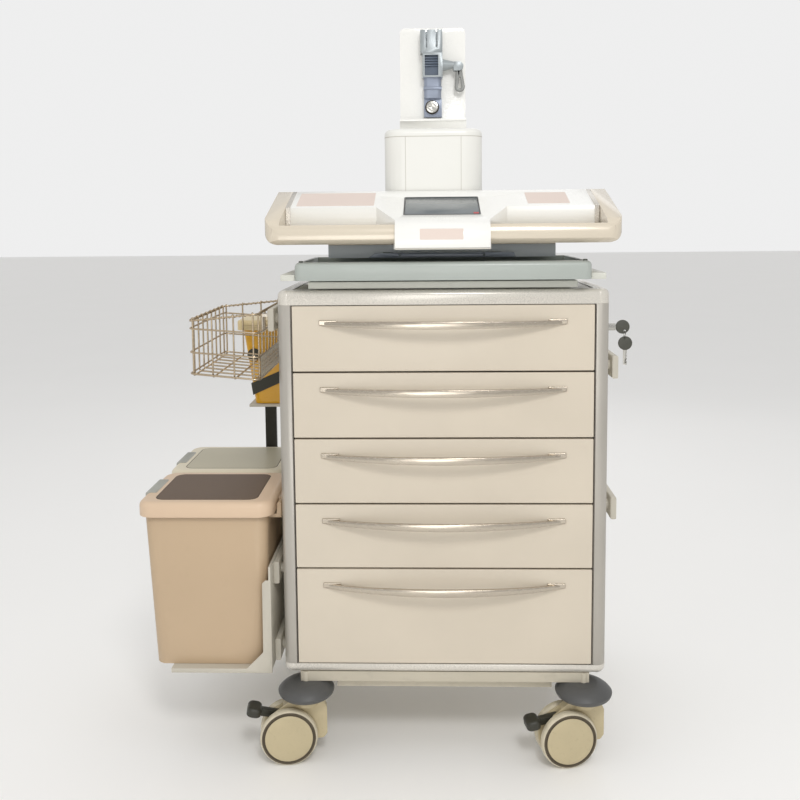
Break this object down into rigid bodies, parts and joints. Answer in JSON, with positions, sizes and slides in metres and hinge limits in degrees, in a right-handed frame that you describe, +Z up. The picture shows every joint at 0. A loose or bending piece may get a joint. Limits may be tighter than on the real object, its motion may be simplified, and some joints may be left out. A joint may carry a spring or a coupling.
{
  "type": "medical workstation trolley",
  "caption": "Medical drawer trolley on castors with a sloped console, pull-out tray, column with screen bracket, side bins, wire basket and sharps box.",
  "frame": {"origin": "middle of the whole trolley's outline, on the floor", "axes": "+Z up, -Y towards the user at the drawer fronts, +X to the user's right"},
  "size_m": [1.076, 0.6285, 1.639],
  "materials": {
    "drawer_enamel": "satin powder coat",
    "anodised_aluminium": "satin anodised",
    "frame_plastic": "satin silver grey",
    "brushed_nickel": "brushed",
    "drawer_box_plastic": "matte",
    "zinc_steel": "zinc plated",
    "base_enamel": "satin",
    "bumper_rubber": "matte grey",
    "castor_plastic": "smooth cream",
    "pedal_plastic": "matte dark",
    "rail_enamel": "satin grey",
    "tray_plastic": "satin grey green",
    "riser_enamel": "satin blue grey",
    "worktop_plastic": "champagne gloss",
    "console_plastic": "white gloss",
    "screen_glass": "dark glossy screen",
    "bracket_enamel": "white hammered gloss",
    "clamp_casting": "satin cast",
    "front_bin_plastic": "satin beige",
    "rear_bin_plastic": "satin grey beige",
    "chromed_wire": "bright",
    "sharps_plastic": "yellow gloss",
    "sharps_lid_plastic": "cream gloss",
    "lock_chrome": "bright",
    "key_plastic": "matte dark heads on steel blades"
  },
  "bodies": {
    "cart": {"left_side_panel": "drawer_enamel", "right_side_panel": "drawer_enamel", "back_panel": "drawer_enamel", "top_panel": "frame_plastic", "bottom_panel": "frame_plastic", "corner_posts": "anodised_aluminium", "frame_bars": "frame_plastic", "corner_caps": "frame_plastic", "base_frame": "base_enamel", "castor_bumpers": "bumper_rubber", "drawer_runners": "zinc_steel", "side_rails": "rail_enamel", "tray_base": "tray_plastic", "riser_box": "riser_enamel", "worktop": "worktop_plastic", "console_housing": "console_plastic", "display": "screen_glass", "column_housing": "console_plastic", "monitor_bracket": "bracket_enamel", "clamp_body": "clamp_casting", "bin_carrier": "rail_enamel", "sharps_holder": "rail_enamel", "lock_barrel": "lock_chrome"},
    "drawer_1": {"drawer_1_front": "drawer_enamel", "drawer_1_box": "drawer_box_plastic", "drawer_1_handle": "brushed_nickel"},
    "drawer_2": {"drawer_2_front": "drawer_enamel", "drawer_2_box": "drawer_box_plastic", "drawer_2_handle": "brushed_nickel"},
    "drawer_3": {"drawer_3_front": "drawer_enamel", "drawer_3_box": "drawer_box_plastic", "drawer_3_handle": "brushed_nickel"},
    "drawer_4": {"drawer_4_front": "drawer_enamel", "drawer_4_box": "drawer_box_plastic", "drawer_4_handle": "brushed_nickel"},
    "drawer_5": {"drawer_5_front": "drawer_enamel", "drawer_5_box": "drawer_box_plastic", "drawer_5_handle": "brushed_nickel"},
    "tray": {"keyboard_tray": "tray_plastic"},
    "front_left_castor": {"front_left_castor_fork": "castor_plastic"},
    "front_left_wheels": {"front_left_castor_wheels": "castor_plastic"},
    "front_left_pedal": {"front_left_castor_pedal": "pedal_plastic"},
    "front_right_castor": {"front_right_castor_fork": "castor_plastic"},
    "front_right_wheels": {"front_right_castor_wheels": "castor_plastic"},
    "front_right_pedal": {"front_right_castor_pedal": "pedal_plastic"},
    "rear_left_castor": {"rear_left_castor_fork": "castor_plastic"},
    "rear_left_wheels": {"rear_left_castor_wheels": "castor_plastic"},
    "rear_right_castor": {"rear_right_castor_fork": "castor_plastic"},
    "rear_right_wheels": {"rear_right_castor_wheels": "castor_plastic"},
    "front_bin": {"front_bin_body": "front_bin_plastic"},
    "front_lid": {"front_bin_lid": "front_bin_plastic"},
    "rear_bin": {"rear_bin_body": "rear_bin_plastic"},
    "rear_lid": {"rear_bin_lid": "rear_bin_plastic"},
    "wire_basket": {"basket": "chromed_wire"},
    "sharps_box": {"sharps_container": "sharps_plastic"},
    "sharps_box_lid": {"sharps_lid": "sharps_lid_plastic"},
    "clamp_handle": {"clamp_lever": "clamp_casting"},
    "clamp_screw": {"clamp_knob": "clamp_casting"},
    "lock_key": {"key": "key_plastic"},
    "hanging_key": {"spare_key": "key_plastic"}
  },
  "joints": [
    {"name": "drawer_1_slide", "type": "slide", "parent": "cart", "child": "drawer_1", "axis": [0, -1, 0], "range_m": [0, 0.4]},
    {"name": "drawer_2_slide", "type": "slide", "parent": "cart", "child": "drawer_2", "axis": [0, -1, 0], "range_m": [0, 0.4]},
    {"name": "drawer_3_slide", "type": "slide", "parent": "cart", "child": "drawer_3", "axis": [0, -1, 0], "range_m": [0, 0.4]},
    {"name": "drawer_4_slide", "type": "slide", "parent": "cart", "child": "drawer_4", "axis": [0, -1, 0], "range_m": [0, 0.4]},
    {"name": "drawer_5_slide", "type": "slide", "parent": "cart", "child": "drawer_5", "axis": [0, -1, 0], "range_m": [0, 0.4]},
    {"name": "tray_slide", "type": "slide", "parent": "cart", "child": "tray", "axis": [0, -1, 0], "range_m": [0, 0.25]},
    {"name": "front_left_swivel", "type": "hinge", "parent": "cart", "child": "front_left_castor", "pos_m": [-0.1745, -0.24725, 0.15], "axis": [0, 0, 1], "continuous": true},
    {"name": "front_left_roll", "type": "hinge", "parent": "front_left_castor", "child": "front_left_wheels", "pos_m": [-0.21411, -0.25282, 0.0625], "axis": [0.1392, -0.9903, 0], "continuous": true},
    {"name": "front_left_brake", "type": "hinge", "parent": "front_left_castor", "child": "front_left_pedal", "pos_m": [-0.2359, -0.25588, 0.104], "axis": [0.1392, -0.9903, 0], "range_deg": [0, 22]},
    {"name": "front_right_swivel", "type": "hinge", "parent": "cart", "child": "front_right_castor", "pos_m": [0.4325, -0.24725, 0.15], "axis": [0, 0, 1], "continuous": true},
    {"name": "front_right_roll", "type": "hinge", "parent": "front_right_castor", "child": "front_right_wheels", "pos_m": [0.39324, -0.25488, 0.0625], "axis": [0.1908, -0.9816, 0], "continuous": true},
    {"name": "front_right_brake", "type": "hinge", "parent": "front_right_castor", "child": "front_right_pedal", "pos_m": [0.37164, -0.25908, 0.104], "axis": [0.1908, -0.9816, 0], "range_deg": [-22, 0]},
    {"name": "rear_left_swivel", "type": "hinge", "parent": "cart", "child": "rear_left_castor", "pos_m": [-0.1745, 0.25275, 0.15], "axis": [0, 0, 1], "continuous": true},
    {"name": "rear_left_roll", "type": "hinge", "parent": "rear_left_castor", "child": "rear_left_wheels", "pos_m": [-0.21428, 0.25693, 0.0625], "axis": [-0.1045, -0.9945, 0], "continuous": true},
    {"name": "rear_right_swivel", "type": "hinge", "parent": "cart", "child": "rear_right_castor", "pos_m": [0.4325, 0.25275, 0.15], "axis": [0, 0, 1], "continuous": true},
    {"name": "rear_right_roll", "type": "hinge", "parent": "rear_right_castor", "child": "rear_right_wheels", "pos_m": [0.39369, 0.26243, 0.0625], "axis": [-0.2419, -0.9703, 0], "continuous": true},
    {"name": "front_bin_slide", "type": "slide", "parent": "cart", "child": "front_bin", "axis": [-1, 0, 0], "range_m": [0, 0.3]},
    {"name": "front_lid_hinge", "type": "hinge", "parent": "front_bin", "child": "front_lid", "pos_m": [-0.234, -0.13225, 0.56], "axis": [0, 1, 0], "range_deg": [0, 60]},
    {"name": "rear_bin_slide", "type": "slide", "parent": "cart", "child": "rear_bin", "axis": [-1, 0, 0], "range_m": [0, 0.3]},
    {"name": "rear_lid_hinge", "type": "hinge", "parent": "rear_bin", "child": "rear_lid", "pos_m": [-0.234, 0.12175, 0.56], "axis": [0, 1, 0], "range_deg": [0, 38]},
    {"name": "basket_lift", "type": "slide", "parent": "cart", "child": "wire_basket", "axis": [0, 0, 1], "range_m": [0, 0.04]},
    {"name": "sharps_box_lift", "type": "slide", "parent": "cart", "child": "sharps_box", "axis": [0, 0, 1], "range_m": [0, 0.15]},
    {"name": "sharps_lid_hinge", "type": "hinge", "parent": "sharps_box", "child": "sharps_box_lid", "pos_m": [-0.3125, 0.20875, 0.9125], "axis": [-1, 0, 0], "range_deg": [0, 100]},
    {"name": "clamp_lever_swing", "type": "hinge", "parent": "cart", "child": "clamp_handle", "pos_m": [0.175, 0.04975, 1.544], "axis": [0, -1, 0], "range_deg": [0, 85]},
    {"name": "clamp_knob_turn", "type": "hinge", "parent": "cart", "child": "clamp_screw", "pos_m": [0.111, 0.04075, 1.45], "axis": [0, 1, 0], "continuous": true},
    {"name": "key_turn", "type": "hinge", "parent": "cart", "child": "lock_key", "pos_m": [0.501, -0.19725, 0.951], "axis": [1, 0, 0], "range_deg": [0, 90]},
    {"name": "spare_key_swing", "type": "hinge", "parent": "lock_key", "child": "hanging_key", "pos_m": [0.522, -0.19725, 0.942], "axis": [0, -1, 0], "range_deg": [-8, 30]}
  ]
}
